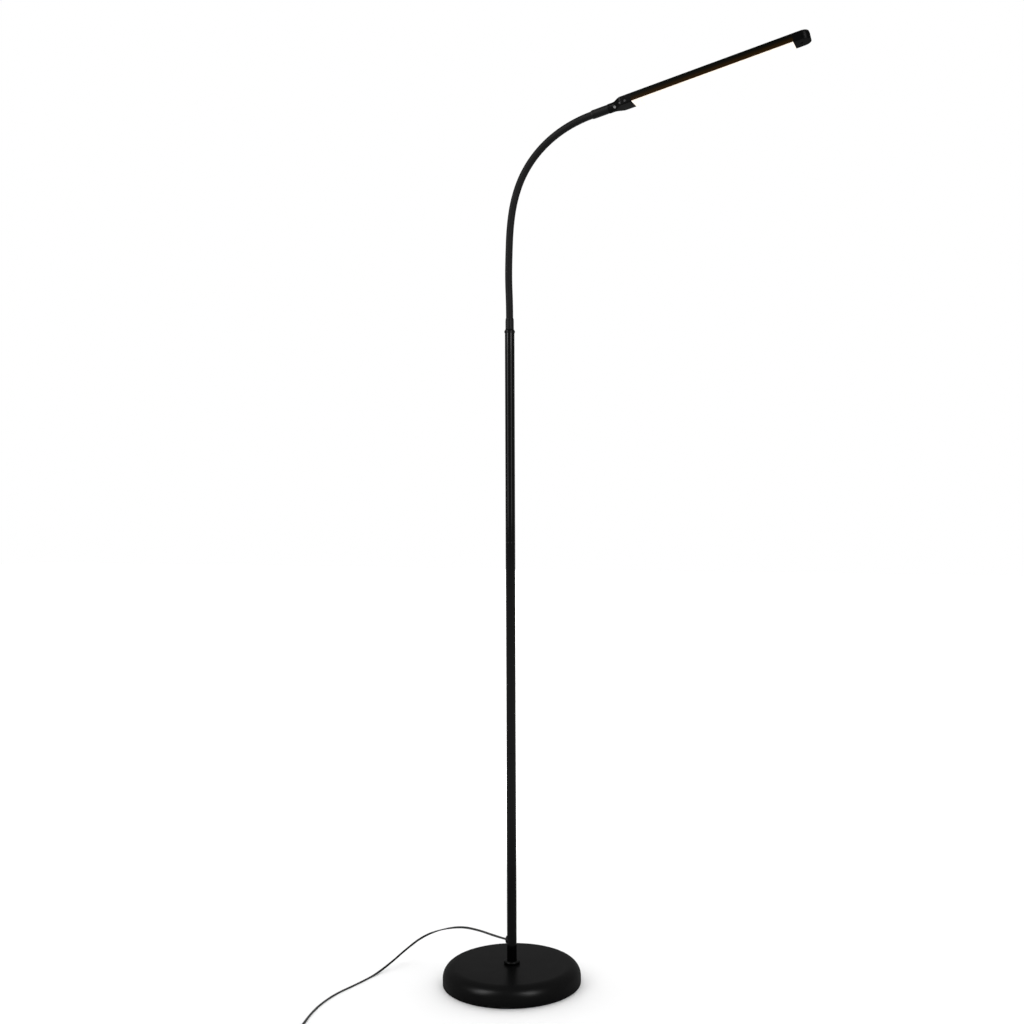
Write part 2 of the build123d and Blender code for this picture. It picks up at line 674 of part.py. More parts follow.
def coil_point(turns):
    """A point of the coil's centre line after so many turns, in the coil's own frame."""
    layer = min(COIL_LAYERS - 1, int(turns / TURNS_PER_LAYER))
    inside = turns - layer * TURNS_PER_LAYER
    inwards = inside if layer % 2 == 0 else TURNS_PER_LAYER - inside
    radius = COIL_OUTER_R - inwards * COIL_PITCH
    nearest = round(turns / TURNS_PER_LAYER)
    off = turns - nearest * TURNS_PER_LAYER
    climbing = 0 < nearest < COIL_LAYERS and abs(off) < CLIMB
    if climbing:
        edge = COIL_OUTER_R - (TURNS_PER_LAYER - CLIMB if nearest % 2 else CLIMB) * COIL_PITCH
        bulge = (CLIMB - off * off / CLIMB) * COIL_PITCH / 2
        radius = edge - bulge if nearest % 2 else edge + bulge
        share = (off + CLIMB) / (2 * CLIMB)
        layer = nearest - 1 + share * share * (3 - 2 * share)
    angle = 2 * pi * turns + pi
    return Vector(radius * cos(angle), radius * sin(angle), CORD_R + layer * COIL_PITCH)


def coil_turns():
    return COIL_LAYERS * TURNS_PER_LAYER


def coil_tangent(turns):
    step = 1e-4
    return (coil_point(turns + step) - coil_point(turns - step)).normalized()


def biarc(p0, t0, p1, t1):
    """Two arcs that leave p0 along t0 and reach p1 along t1."""
    span = p1 - p0
    both = t0 + t1
    a = 2 * (t0.dot(t1) - 1)
    b = -2 * span.dot(both)
    c = span.dot(span)
    if abs(a) < 1e-9:
        reach = -c / b
    else:
        reach = (-b - (b * b - 4 * a * c) ** 0.5) / (2 * a)
    q0 = p0 + t0 * reach
    q1 = p1 - t1 * reach
    join = (q0 + q1) * 0.5
    return [Edge.make_tangent_arc(p0, t0, join), Edge.make_tangent_arc(join, (q1 - q0).normalized(), p1)]


def coil_path():
    """The coil's centre line: a straight lead-in, half-turn biarcs and a straight end."""
    ahead = Vector(0, -1, 0)
    halves = [i / 2 for i in range(2 * coil_turns() + 1)]
    climbs = [n * TURNS_PER_LAYER for n in range(1, COIL_LAYERS)]
    places = [h for h in halves if h not in climbs]
    places += [c + d for c in climbs for d in (-CLIMB, CLIMB)]
    places.sort()
    points = [coil_point(s) for s in places]
    tangents = [coil_tangent(s) for s in places]
    tangents[0] = ahead
    tangents[-1] = ahead
    points[0] = Vector(points[0].X, points[0].Y, CORD_R)
    edges = [Edge.make_line(points[0] - ahead * 2 * CORD_R, points[0])]
    for p0, t0, p1, t1 in zip(points, tangents, points[1:], tangents[1:]):
        edges += biarc(p0, t0, p1, t1)
    edges.append(Edge.make_line(points[-1], points[-1] + ahead * COIL_END_RUN))
    return Wire(edges)


def least_gap(path):
    """The least distance between the tube's surfaces, of stretches that aren't neighbours along it."""
    count = 1400
    step = path.length / count
    points = [path @ (i / count) for i in range(count + 1)]
    apart = int(3 * CORD_R * pi / step)
    gap = min((points[i] - points[j]).length
              for i in range(0, count, 2) for j in range(i + apart, count + 1))
    return gap - 2 * CORD_R


def coil_place():
    """Moves from the coil's own frame, which the lead enters heading along -Y, to where it lies."""
    return Pos(COIL_CENTRE.X, COIL_CENTRE.Y, 0) * Rot(0, 0, LEAD_HEADING - 270)


def cord_coil():
    path = coil_path()
    start = Plane(origin=path @ 0, x_dir=(1, 0, 0), z_dir=(0, -1, 0))
    coil = sweep(start * Circle(CORD_R), path=path)
    print("coil length", round(path.length, 1), "volume / (section x length)",
          round(coil.volume / (pi * CORD_R ** 2 * path.length), 4), "least gap", round(least_gap(path), 2))
    return coil_place() * coil


def coil_end():
    """The centre of the coil's free end, in the coil's own frame."""
    return coil_point(coil_turns()) + Vector(0, -COIL_END_RUN, 0)


def adapter_place():
    """Moves to below the coil's free end: +X runs on along the lead, +Z is up from the floor."""
    return coil_place() * Pos(coil_end().X, coil_end().Y, 0) * Rot(0, 0, -90)


def adapter_relief():
    cone = lathe((0, 0), (RELIEF_R, 0), (RELIEF_ROOT_R, RELIEF_L), (0, RELIEF_L))
    at = Plane(origin=(0, 0, coil_end().Z), x_dir=(0, 1, 0), z_dir=(1, 0, 0))
    return adapter_place() * (at * cone)


def pin_places():
    at = RELIEF_L + ADAPTER_L - PIN_FROM_END
    return [Pos(at, y, 0) for y in (-PIN_SPACING / 2, PIN_SPACING / 2)]


def adapter_body():
    body = block(RELIEF_L, RELIEF_L + ADAPTER_L, ADAPTER_W, 0, ADAPTER_T)
    body = fillet(body.edges().filter_by(Axis.Z), ADAPTER_EDGE_R)
    body = fillet(body.faces().sort_by(Axis.Z)[-1].edges(), ADAPTER_EDGE_R / 2)
    body = fillet(body.faces().sort_by(Axis.Z)[0].edges(), ADAPTER_EDGE_R / 2)
    for p in pin_places():
        body -= p * disc(PIN_R + PIN_FIT, ADAPTER_T - PIN_ROOT, ADAPTER_T + 1)
    return adapter_place() * body


def adapter_pins():
    pin = disc(PIN_R, ADAPTER_T - PIN_ROOT, ADAPTER_T + PIN_L)
    pin = fillet(pin.edges().sort_by(Axis.Z)[-1], PIN_TIP_R)
    return adapter_place() * Compound(children=[p * pin for p in pin_places()])


# ---------------------------------------------------------------- writing the parts

os.makedirs("parts", exist_ok=True)

save(base_cover(), "base_cover")
save(base_weight(), "base_weight")
save(base_plate(), "base_plate")
save(base_screws(), "base_screws")
save(base_pad(), "base_pad")
save(foot_washer(), "foot_washer")
save(foot_nut(), "foot_nut")
save(foot_stud(), "foot_stud")
save(foot_ring(), "foot_ring")
save(pole_foot_insert(), "pole_foot_insert")
for number, name in enumerate(("pole_lower", "pole_middle", "pole_upper")):
    save(pole_section(number), name)
save(pole_joiner(1), "pole_joiner_lower")
save(pole_joiner(2), "pole_joiner_upper")
save(pole_top_insert(), "pole_top_insert")
save(pole_collar(), "pole_collar")
save(cord_grommet(), "cord_grommet")
save(pole_wire(), "pole_wire")

save(neck_ferrule(), "neck_ferrule")
for number in range(LINKS):
    save(neck_link(number), f"neck_link_{number}")
for number in range(1, LINKS - 1):
    save(neck_wire(number), f"neck_wire_{number}")
save(head_ferrule(), "head_ferrule")
save(head_wire(), "head_wire")

save(HEAD_PLANE * control_housing(), "control_housing")
for number, name in enumerate(("key_power", "key_dimmer", "key_colour")):
    save(HEAD_PLANE * key(number), name)
save(HEAD_PLANE * control_board(), "control_board")
save(HEAD_PLANE * board_header(), "board_header")
save(HEAD_PLANE * bar_housing(), "bar_housing")
save(HEAD_PLANE * led_board(), "led_board")
save(HEAD_PLANE * led_chips(), "led_chips")
save(HEAD_PLANE * light_tray(), "light_tray")
save(HEAD_PLANE * diffuser(), "diffuser")
save(HEAD_PLANE * end_cap(), "end_cap")
save(HEAD_PLANE * end_screw(), "end_screw")

save(cord(), "cord")
save(cord_coil(), "cord_coil")
save(adapter_relief(), "adapter_relief")
save(adapter_body(), "adapter_body")
save(adapter_pins(), "adapter_pins")

print("neck ends", [round(v, 1) for v in HEAD_START], "tilt", round(HEAD_TILT, 2),
      "head starts", [round(v, 1) for v in HEAD_ORIGIN])
for number in range(1, LINKS):
    print("bend", number, [round(v / 1000, 5) for v in STATIONS[number][0]], round(STATIONS[number][1], 2))
print("coil entry", COIL_ENTRY, "centre", COIL_CENTRE)
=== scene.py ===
from math import acos, cos, pi, radians, sin

import bmesh
import bpy
from mathutils import Matrix, Vector


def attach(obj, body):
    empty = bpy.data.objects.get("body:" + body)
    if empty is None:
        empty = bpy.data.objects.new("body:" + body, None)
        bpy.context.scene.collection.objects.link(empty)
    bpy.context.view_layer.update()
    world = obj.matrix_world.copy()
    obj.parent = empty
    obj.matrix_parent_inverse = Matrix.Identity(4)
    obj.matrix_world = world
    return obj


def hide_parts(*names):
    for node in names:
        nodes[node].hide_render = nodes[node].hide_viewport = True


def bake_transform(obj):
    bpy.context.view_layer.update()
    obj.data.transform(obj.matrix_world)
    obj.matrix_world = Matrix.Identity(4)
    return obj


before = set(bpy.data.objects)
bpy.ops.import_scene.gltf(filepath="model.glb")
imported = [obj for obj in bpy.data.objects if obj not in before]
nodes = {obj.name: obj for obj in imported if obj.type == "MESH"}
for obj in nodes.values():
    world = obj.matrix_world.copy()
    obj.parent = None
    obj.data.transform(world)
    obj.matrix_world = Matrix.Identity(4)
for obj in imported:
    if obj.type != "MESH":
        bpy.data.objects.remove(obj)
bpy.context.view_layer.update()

# ---------------------------------------------------------------- non-slip pad
# A disc of black foam rubber glued under the base, which the lamp stands on. Its pitted
# face has shallow grip rings, and its lower edge is chamfered.


class Shade:
    """One output in a finish's node tree. Arithmetic on it adds Math nodes."""

    def __init__(self, tree, socket=None):
        self.tree = tree
        self.socket = socket

    def node(self, kind, settings, sockets, output=0):
        """Adds a node: its settings first, then the values or links of its sockets."""
        new = self.tree.nodes.new(kind)
        for name, value in settings.items():
            setattr(new, name, value)
        for name, value in sockets.items():
            if isinstance(value, Shade):
                self.tree.links.new(value.socket, new.inputs[name])
            else:
                new.inputs[name].default_value = value
        return Shade(self.tree, new.outputs[output])

    def math(self, operation, first, second=0.0):
        return self.node("ShaderNodeMath", {"operation": operation}, {0: first, 1: second})

    def __add__(self, other):
        return self.math("ADD", self, other)

    def __sub__(self, other):
        return self.math("SUBTRACT", self, other)

    def __rsub__(self, other):
        return self.math("SUBTRACT", other, self)

    def __mul__(self, other):
        return self.math("MULTIPLY", self, other)

    def __abs__(self):
        return self.math("ABSOLUTE", self)

    def ramp(self, low, high):
        """0 below low, 1 above high and smooth between; low may be the larger."""
        return self.node("ShaderNodeMapRange", {"interpolation_type": "SMOOTHSTEP"}, {
            "Value": self, "From Min": low, "From Max": high, "To Min": 0.0, "To Max": 1.0})

    def about(self, mean, play):
        """This noise, which runs from 0 to 1, spread evenly about a mean."""
        return (self - 0.5) * play + mean

    def mix(self, first, second):
        """The first colour where this is 0 and the second where it is 1."""
        return self.node("ShaderNodeMix", {"data_type": "RGBA"}, {0: self, 6: first, 7: second}, 2)

    def noise(self, place, scale, detail=3.0):
        return self.node("ShaderNodeTexNoise", {}, {"Vector": place, "Scale": scale, "Detail": detail})

    def axis(self, number):
        """The x, y or z of this vector."""
        return self.node("ShaderNodeSeparateXYZ", {}, {0: self}, number)


def new_finish(name, **even):
    """A material whose shader's even values are set, and the start of its nodes."""
    material = bpy.data.materials.new(name)
    material.use_nodes = True
    shader = material.node_tree.nodes["Principled BSDF"]
    for socket, value in even.items():
        shader.inputs[socket.replace("_", " ")].default_value = value
    return material, Shade(material.node_tree)


def feed(material, socket, shade):
    """Drives one of the shader's values, in place of whatever drove it before."""
    shader = material.node_tree.nodes["Principled BSDF"]
    material.node_tree.links.new(shade.socket, shader.inputs[socket])


def object_place(start, stretch=(1, 1, 1), shift=(0, 0, 0), turn=(0, 0, 0)):
    """The place in the frame that is being shaded, stretched, shifted or turned."""
    place = start.node("ShaderNodeTexCoord", {}, {}, "Object")
    return start.node("ShaderNodeMapping", {"vector_type": "POINT"}, {
        "Vector": place, "Location": shift, "Rotation": turn, "Scale": stretch})


def raise_grain(material, height, strength, distance):
    feed(material, "Normal", height.node("ShaderNodeBump", {}, {
        "Strength": strength, "Distance": distance, "Height": height}))


def grey(tone):
    return (tone, tone, tone, 1)


def mottled(name, dark, light, *, blotch, rough, grain, depth, **even):
    """A finish whose tone wanders between two colours, with a fine raised grain.

    blotch and grain say how fine the wandering and the grain are, and depth how high the
    grain stands.
    """
    material, start = new_finish(name, **even)
    place = object_place(start)
    cloud = start.noise(place, blotch)
    feed(material, "Base Color", cloud.ramp(0.3, 0.7).mix(dark, light))
    feed(material, "Roughness", cloud.about(rough, 0.16))
    raise_grain(material, start.noise(place, grain, 2.0), 0.6, depth)
    return material


def dress(material, *names):
    """Gives CAD nodes that keep their own shape a finish."""
    for name in names:
        mesh = nodes[name].data
        mesh.materials.clear()
        mesh.materials.append(material)


def settle(name, bm, material, body, *stands_for, sharp=32):
    """Ends a mesh: smooth faces, sharp corners kept, its finish, body and CAD nodes."""
    for face in bm.faces:
        face.smooth = True
    for edge in bm.edges:
        edge.smooth = edge.calc_face_angle(0.0) < radians(sharp)
    mesh = bpy.data.meshes.new(name)
    bm.to_mesh(mesh)
    bm.free()
    mesh.materials.append(material)
    piece = bpy.data.objects.new(name, mesh)
    bpy.context.scene.collection.objects.link(piece)
    if body:
        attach(piece, body)
    if stands_for:
        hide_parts(*stands_for)
    return piece


def turned(outline, steps=96, closed=True):
    """Spins an outline of (radius, height) points round the Z axis."""
    bm = bmesh.new()
    verts = [bm.verts.new((radius, 0, height)) for radius, height in outline]
    edges = [bm.edges.new(pair) for pair in zip(verts, verts[1:])]
    if closed:
        edges.append(bm.edges.new((verts[-1], verts[0])))
    bmesh.ops.spin(bm, geom=verts + edges, cent=(0, 0, 0), axis=(0, 0, 1), dvec=(0, 0, 0),
                   angle=2 * pi, steps=steps, use_merge=True, use_normal_flip=False,
                   use_duplicate=False)
    bmesh.ops.remove_doubles(bm, verts=bm.verts, dist=1e-7)
    bmesh.ops.recalc_face_normals(bm, faces=bm.faces)
    return bm


def round_ring(bm, radius, height, by, segments):
    """Rounds the ring-shaped edge that a turned piece has at that radius and height."""
    def lies_there(vert):
        return abs(vert.co.xy.length - radius) < 1e-6 and abs(vert.co.z - height) < 1e-6
    ring = [edge for edge in bm.edges if all(lies_there(vert) for vert in edge.verts)]
    bmesh.ops.bevel(bm, geom=ring, offset=by, offset_type="OFFSET", segments=segments, profile=0.5,
                    affect="EDGES", material=-1)


PAD_R = 0.108
PAD_T = 0.0025
PAD_CHAMFER = 0.0006
GRIP_RINGS = (0.020, 0.034, 0.048, 0.062, 0.076, 0.090, 0.101)
GRIP_DEPTH = 0.0004
GRIP_W = 0.0016

pad_foam = mottled("pad_foam", grey(0.012), (0.026, 0.026, 0.025, 1),
                   blotch=60, rough=0.85, grain=900, depth=0.0003)
outline = [(0, 0)]
for ring in GRIP_RINGS:
    outline += [(ring, 0), (ring, GRIP_DEPTH), (ring + GRIP_W, GRIP_DEPTH), (ring + GRIP_W, 0)]
outline += [(PAD_R - PAD_CHAMFER, 0), (PAD_R, PAD_CHAMFER), (PAD_R, PAD_T), (0, PAD_T)]
settle("grip_pad", turned(outline, closed=False), pad_foam, "stand", "base_pad")

# ---------------------------------------------------------------- bottom plate and its screws
# A pressed disc of zinc-plated steel that closes the base from below. Three countersunk
# screws hold it to bosses under the weight.

zinc = mottled("zinc_plate", (0.42, 0.43, 0.42, 1), (0.58, 0.58, 0.55, 1),
               blotch=90, rough=0.34, grain=1500, depth=0.00004, Metallic=1.0)
dress(zinc, "base_plate", "base_screws", "foot_washer", "foot_nut", "foot_stud")

# ---------------------------------------------------------------- weight
# A rough grey iron casting under the cover keeps the lamp from tipping.

raw_iron = mottled("raw_iron", (0.06, 0.058, 0.055, 1), (0.13, 0.125, 0.12, 1),
                   blotch=120, rough=0.62, grain=700, depth=0.0004, Metallic=0.85)
dress(raw_iron, "base_weight")

# ---------------------------------------------------------------- base cover
# A spun steel dish with a broad rounded shoulder, painted satin black. It drops over
# the weight, and its rim stops just above the floor, where its paint is a little worn.


def sheened(name, dark, light, *, blotch, rough, coat, coat_blotch, coat_rough, grain,
            stretch=(1, 1, 1)):
    """A dark finish under a thin coat that shines. Gives the material and its colour.

    rough and coat are each a mean and a play about it. grain is how fine it is, its
    detail, its strength and its height.
    """
    material, start = new_finish(name, Specular_IOR_Level=0.0, Coat_Roughness=coat_rough)
    place = object_place(start, stretch)
    cloud = start.noise(place, blotch)
    colour = cloud.mix(dark, light)
    feed(material, "Base Color", colour)
    feed(material, "Roughness", cloud.about(*rough))
    feed(material, "Coat Weight", start.noise(place, coat_blotch).about(*coat))
    fineness, detail, strength, height = grain
    raise_grain(material, start.noise(place, fineness, detail), strength, height)
    return material, colour


BASE_R = 0.115
BASE_H = 0.0316
SHOULDER_R = 0.020
SHEET_T = 0.0015
RIM_GAP = 0.0004
RIM_ROUND = 0.0006
STUD_HOLE_R = 0.00515
WORN_BELOW = 0.005      # the paint is whole above this height
MOST_WORN = 0.001       # and most worn below this one

base_paint, black = sheened("base_satin_black", grey(0.0014), grey(0.0024), blotch=14, rough=(0.55, 0.2),
                            coat=(0.095, 0.02), coat_blotch=35, coat_rough=0.3,
                            grain=(1300, 2.0, 0.3, 0.00003))
place = object_place(black)
worn = place.axis(2).ramp(WORN_BELOW, MOST_WORN) * place.noise(place, 220).ramp(0.5, 0.66)
feed(base_paint, "Base Color", worn.mix(black, grey(0.02)))
inside_r, inside_h = BASE_R - SHEET_T, BASE_H - SHEET_T
bm = turned([(inside_r, RIM_GAP), (BASE_R, RIM_GAP), (BASE_R, BASE_H), (STUD_HOLE_R, BASE_H),
             (STUD_HOLE_R, inside_h), (inside_r, inside_h)], steps=224)
round_ring(bm, BASE_R, BASE_H, SHOULDER_R, 28)
round_ring(bm, inside_r, inside_h, SHOULDER_R - SHEET_T, 12)
round_ring(bm, BASE_R, RIM_GAP, RIM_ROUND, 3)
settle("base_dish", bm, base_paint, "stand", "base_cover", sharp=50)

# ---------------------------------------------------------------- ring at the pole's foot
# A small turned ring with rounded edges that covers the hole in the dish.

RING_R = 0.0135
RING_TOP = BASE_H + 0.0055
RING_TOP_ROUND = 0.0024
RING_FOOT_ROUND = 0.0018
AROUND_POLE_R = 0.00815     # the bore of a ring that is pushed over the pole
EDGE_ROUND = 0.0003         # a turned edge that is only broken

bm = turned([(AROUND_POLE_R, BASE_H), (RING_R, BASE_H), (RING_R, RING_TOP), (AROUND_POLE_R, RING_TOP)])
round_ring(bm, RING_R, RING_TOP, RING_TOP_ROUND, 8)
round_ring(bm, RING_R, BASE_H, RING_FOOT_ROUND, 6)
round_ring(bm, AROUND_POLE_R, RING_TOP, EDGE_ROUND, 2)
settle("foot_collar", bm, base_paint, "stand", "foot_ring", sharp=50)

# ---------------------------------------------------------------- plastic inserts and joiners
# Moulded bushes that centre the stud and the neck's shank, and plated sleeves that join
# the three lengths of pole from inside.

bush = mottled("bush_plastic", (0.6, 0.59, 0.55, 1), (0.7, 0.69, 0.65, 1),
               blotch=50, rough=0.5, grain=800, depth=0.00005)
dress(bush, "pole_foot_insert", "pole_top_insert")
dress(zinc, "pole_joiner_lower", "pole_joiner_upper")

# ---------------------------------------------------------------- pole
# Three equal lengths of steel tube, screwed together and painted gloss black. The paint
# has a faint orange peel, and its joints are hairlines. A turned lip closes its top.

POLE_R = 0.008
POLE_BORE_R = 0.007
LENGTH_L = 0.3509
POLE_TOP = BASE_H + 3 * LENGTH_L
JOINT_ROUND = 0.00025
HELD = 0.001                # a ring of points near each end holds the long face's shading straight
LIP_TOP = POLE_TOP + 0.004
LIP_R = 0.0089
LIP_TOP_R = 0.0074
LIP_HOLE_R = 0.00515        # where the neck's shank goes in
LIP_WIDEST = 0.0008         # the top of its widest part, above the pole's end
LIP_ROUND = 0.0004

# The lip's outside, as (radius, height above the pole's end)
LIP_FORM = ((0.0083, -0.002), (LIP_R, -0.0004), (LIP_R, LIP_WIDEST), (0.0084, 0.0020))

pole_paint, _ = sheened("pole_gloss_black", grey(0.0010), grey(0.0018), blotch=40, rough=(0.5, 0.15),
                        coat=(0.13, 0.04), coat_blotch=18, coat_rough=0.1,
                        grain=(300, 1.0, 0.12, 0.00003), stretch=(1, 1, 0.12))
for number, node in enumerate(("pole_lower", "pole_middle", "pole_upper")):
    low = BASE_H + number * LENGTH_L
    high = low + LENGTH_L
    bm = turned([(POLE_BORE_R, low), (POLE_R, low), (POLE_R, low + HELD), (POLE_R, high - HELD),
                 (POLE_R, high), (POLE_BORE_R, high)])
    round_ring(bm, POLE_R, low, JOINT_ROUND, 2)
    round_ring(bm, POLE_R, high, JOINT_ROUND, 2)
    piece = settle("pole_length_%d" % (number + 1), bm, pole_paint, "stand", node, sharp=50)

outside = [(radius, POLE_TOP + height) for radius, height in LIP_FORM]
inside = [(LIP_HOLE_R, LIP_TOP), (LIP_HOLE_R, POLE_TOP), (AROUND_POLE_R, POLE_TOP)]
bm = turned([(AROUND_POLE_R, outside[0][1])] + outside + [(LIP_TOP_R, LIP_TOP)] + inside)
round_ring(bm, LIP_R, POLE_TOP + LIP_WIDEST, LIP_ROUND, 3)
round_ring(bm, LIP_TOP_R, LIP_TOP, EDGE_ROUND, 2)
settle("pole_lip", bm, pole_paint, "stand", "pole_collar", sharp=50)

# ---------------------------------------------------------------- cable bush
# A soft rubber bush pushed into a hole low in the pole, where the lead comes out.


def keep_form(name, node, material, body="stand"):
    """A copy of a CAD node's shape, joined up so that it shades smoothly."""
    bm = bmesh.new()
    bm.from_mesh(nodes[node].data)
    bmesh.ops.remove_doubles(bm, verts=bm.verts, dist=1e-6)
    return settle(name, bm, material, body, node)


bush_rubber = mottled("bush_rubber", grey(0.003), grey(0.006),
                      blotch=300, rough=0.6, grain=2500, depth=0.00005, Specular_IOR_Level=0.12)
keep_form("cable_bush", "cord_grommet", bush_rubber)

# ---------------------------------------------------------------- lead inside the lamp
# A thin two-core lead runs up through the pole and neck to the head.

wire_skin = mottled("wire_skin", grey(0.02), grey(0.035), blotch=200, rough=0.5, grain=1500, depth=0.00003)
dress(wire_skin, "pole_wire", "head_wire", *["neck_wire_%d" % i for i in range(1, 8)])

# ---------------------------------------------------------------- lower ferrule
# A moulded sleeve that carries the neck's foot, a little wider than it and tapered at its
# mouth. Its shank goes down into the pole.

FERRULE_L = 0.0187
SEAT_R = 0.00615            # the seat that the neck's skin goes into
SEAT_L = 0.012
SHANK_R = 0.005
WIRE_WAY_R = 0.0025
TAPER_L = 0.003
GROOVE_DEPTH = 0.0003       # a fine turned line near the mouth
GROOVE_FLAT = 0.0004        # the width of its bottom
GROOVE_SIDE = 0.0002        # and of each of its sides
MOUTH_ROUND = 0.00025
NECK_FOOT = (0.0, LIP_TOP + FERRULE_L)

ferrule_black = mottled("ferrule_black", (0.0024, 0.0025, 0.0026, 1), (0.0040, 0.0041, 0.0042, 1),
                        blotch=150, rough=0.5, grain=2200, depth=0.00003, Specular_IOR_Level=0.05)


def ferrule(name, node, body, *, radius, length, mouth_r, shank_l, groove_at, mouth):
    """A sleeve with its mouth at the origin of the matrix mouth and its shank along its +Z."""
    groove_r = radius - GROOVE_DEPTH
    groove = groove_at + GROOVE_SIDE
    groove_end = groove + GROOVE_FLAT
    end = length + shank_l
    bm = turned([(SEAT_R, 0), (mouth_r, 0), (radius, TAPER_L), (radius, groove_at), (groove_r, groove),
                 (groove_r, groove_end), (radius, groove_end + GROOVE_SIDE),
                 (radius, groove_end + GROOVE_SIDE + HELD), (radius, length - HELD), (radius, length),
                 (SHANK_R, length), (SHANK_R, end), (WIRE_WAY_R, end), (WIRE_WAY_R, SEAT_L),
                 (SEAT_R, SEAT_L)], steps=64)
    round_ring(bm, mouth_r, 0, MOUTH_ROUND, 2)
    round_ring(bm, radius, length, EDGE_ROUND, 2)
    bmesh.ops.transform(bm, verts=bm.verts, matrix=mouth)
    settle(name, bm, ferrule_black, body, node, sharp=50)


ferrule("lower_ferrule", "neck_ferrule", "stand", radius=0.007, length=FERRULE_L, mouth_r=0.0065,
        shank_l=0.024, groove_at=0.0032,
        mouth=Matrix.Translation((0, 0, NECK_FOOT[1])) @ Matrix.Rotation(pi, 4, "Y"))

# ---------------------------------------------------------------- flexible neck
# Interlocked metal links under one skin of matt dark-grey rubber. It keeps any bend
# that it is given. Each length of skin below crosses one bend of the frame.

NECK_R = 0.006
NECK_SIDES = 32
LINK_L = 0.0437
LINK_TURNS = (2.3, -3.6, -1.5, -6.4, -11.9, -15.9, -15.0, -13.5, -11.5)
SEATED = 0.010              # how deep the skin's ends sit in the ferrules
STEPS_PER_HALF = 6          # rings of points along half a link

neck_rubber, skin = new_finish("neck_rubber", Specular_IOR_Level=0.05)
place = object_place(skin)
cloud = skin.noise(place, 45)
feed(neck_rubber, "Base Color", cloud.mix((0.0022, 0.0022, 0.0023, 1), (0.0048, 0.0048, 0.0049, 1)))
feed(neck_rubber, "Roughness", cloud.about(0.62, 0.2))
raise_grain(neck_rubber, skin.noise(place, 1900), 0.5, 0.00006)


def pointing(heading):
    """The direction of a heading, in degrees up from +X, in the XZ plane."""
    return Vector((cos(radians(heading)), sin(radians(heading))))


def neck_places():
    """Each link's foot and heading in the XZ plane, and the end of the last."""
    foot, heading = Vector(NECK_FOOT), 90.0
    found = [(foot, heading)]
    for turn in LINK_TURNS:
        half = radians(turn / 2)
        chord = LINK_L * sin(half) / half
        foot = foot + pointing(heading + turn / 2) * chord
        heading += turn
        found.append((foot, heading))
    return found


def half_link(bm, edges, foot, heading, turn):
    """Sweeps the skin's open end along half a link. Gives the new end, foot and heading."""
    side = pointing(heading + 90)
    hub = foot + side * LINK_L / radians(turn)
    bend = radians(turn / 2)
    swept = bmesh.ops.spin(bm, geom=edges, cent=(hub.x, 0, hub.y), axis=(0, -1, 0), dvec=(0, 0, 0),
                           angle=bend, steps=STEPS_PER_HALF, use_merge=False, use_normal_flip=False,
                           use_duplicate=False)
    ends = [e for e in swept["geom_last"] if isinstance(e, bmesh.types.BMEdge)]
    return ends, hub + Matrix.Rotation(bend, 2) @ (foot - hub), heading + turn / 2


def run_straight(bm, edges, heading, length):
    """Draws the skin's open end out straight. Gives the new end."""
    way = pointing(heading) * length
    grown = bmesh.ops.extrude_edge_only(bm, edges=edges)["geom"]
    verts = [v for v in grown if isinstance(v, bmesh.types.BMVert)]
    bmesh.ops.translate(bm, vec=(way.x, 0, way.y), verts=verts)
    return [e for e in grown if isinstance(e, bmesh.types.BMEdge) and e.is_boundary]


places = neck_places()
for bend in range(1, 9):
    below, heading = places[bend - 1]
    turn, next_turn = LINK_TURNS[bend - 1:bend + 1]
    first, last = bend == 1, bend == 8
    bm = bmesh.new()
    # The first skin starts at the neck's foot, and each other one halfway along its first link
    foot, way = below, heading
    if not first:
        foot, way = below + pointing(heading + turn / 4) * LINK_L / 2, heading + turn / 2
    start = Matrix.Translation((foot.x, 0, foot.y)) @ Matrix.Rotation(radians(90 - way), 4, "Y")
    if first:
        start = start @ Matrix.Translation((0, 0, -SEATED))
    bmesh.ops.create_circle(bm, cap_ends=True, segments=NECK_SIDES, radius=NECK_R, matrix=start)
    ends = list(bm.edges)
    if first:
        ends = run_straight(bm, ends, way, SEATED)
        ends, foot, way = half_link(bm, ends, foot, way, turn)
    ends, foot, way = half_link(bm, ends, foot, way, turn)
    ends, foot, way = half_link(bm, ends, foot, way, next_turn)
    if last:
        ends, foot, way = half_link(bm, ends, foot, way, next_turn)
        ends = run_straight(bm, ends, way, SEATED)
    bmesh.ops.edgeloop_fill(bm, edges=ends)
    bmesh.ops.remove_doubles(bm, verts=bm.verts, dist=1e-7)
    bmesh.ops.recalc_face_normals(bm, faces=bm.faces)
    skins = ["neck_link_%d" % bend] + (["neck_link_0"] if first else [])
    piece = settle("neck_skin_%d" % bend, bm, neck_rubber, None, *skins, sharp=60)
    low = below + (places[bend][0] - below) / 2
    high = places[bend][0] + (places[bend + 1][0] - places[bend][0]) / 2
    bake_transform(piece)

# ---------------------------------------------------------------- upper ferrule
# The sleeve at the neck's far end, which carries the head. It is a little wider and
# longer than the lower one.

HEAD_FERRULE_L = 0.030

head_foot, head_tilt = places[-1]
head_start = head_foot + pointing(head_tilt) * HEAD_FERRULE_L
ferrule("upper_ferrule", "head_ferrule", "head", radius=0.0072, length=HEAD_FERRULE_L, mouth_r=0.0067,
        shank_l=0.013, groove_at=0.0034,
        mouth=Matrix.Translation((head_foot.x, 0, head_foot.y))
        @ Matrix.Rotation(radians(90 - head_tilt), 4, "Y"))

# ---------------------------------------------------------------- control housing
# A moulded black housing that widens from the neck's round ferrule into the flat head.
# It holds the control board behind three touch keys.


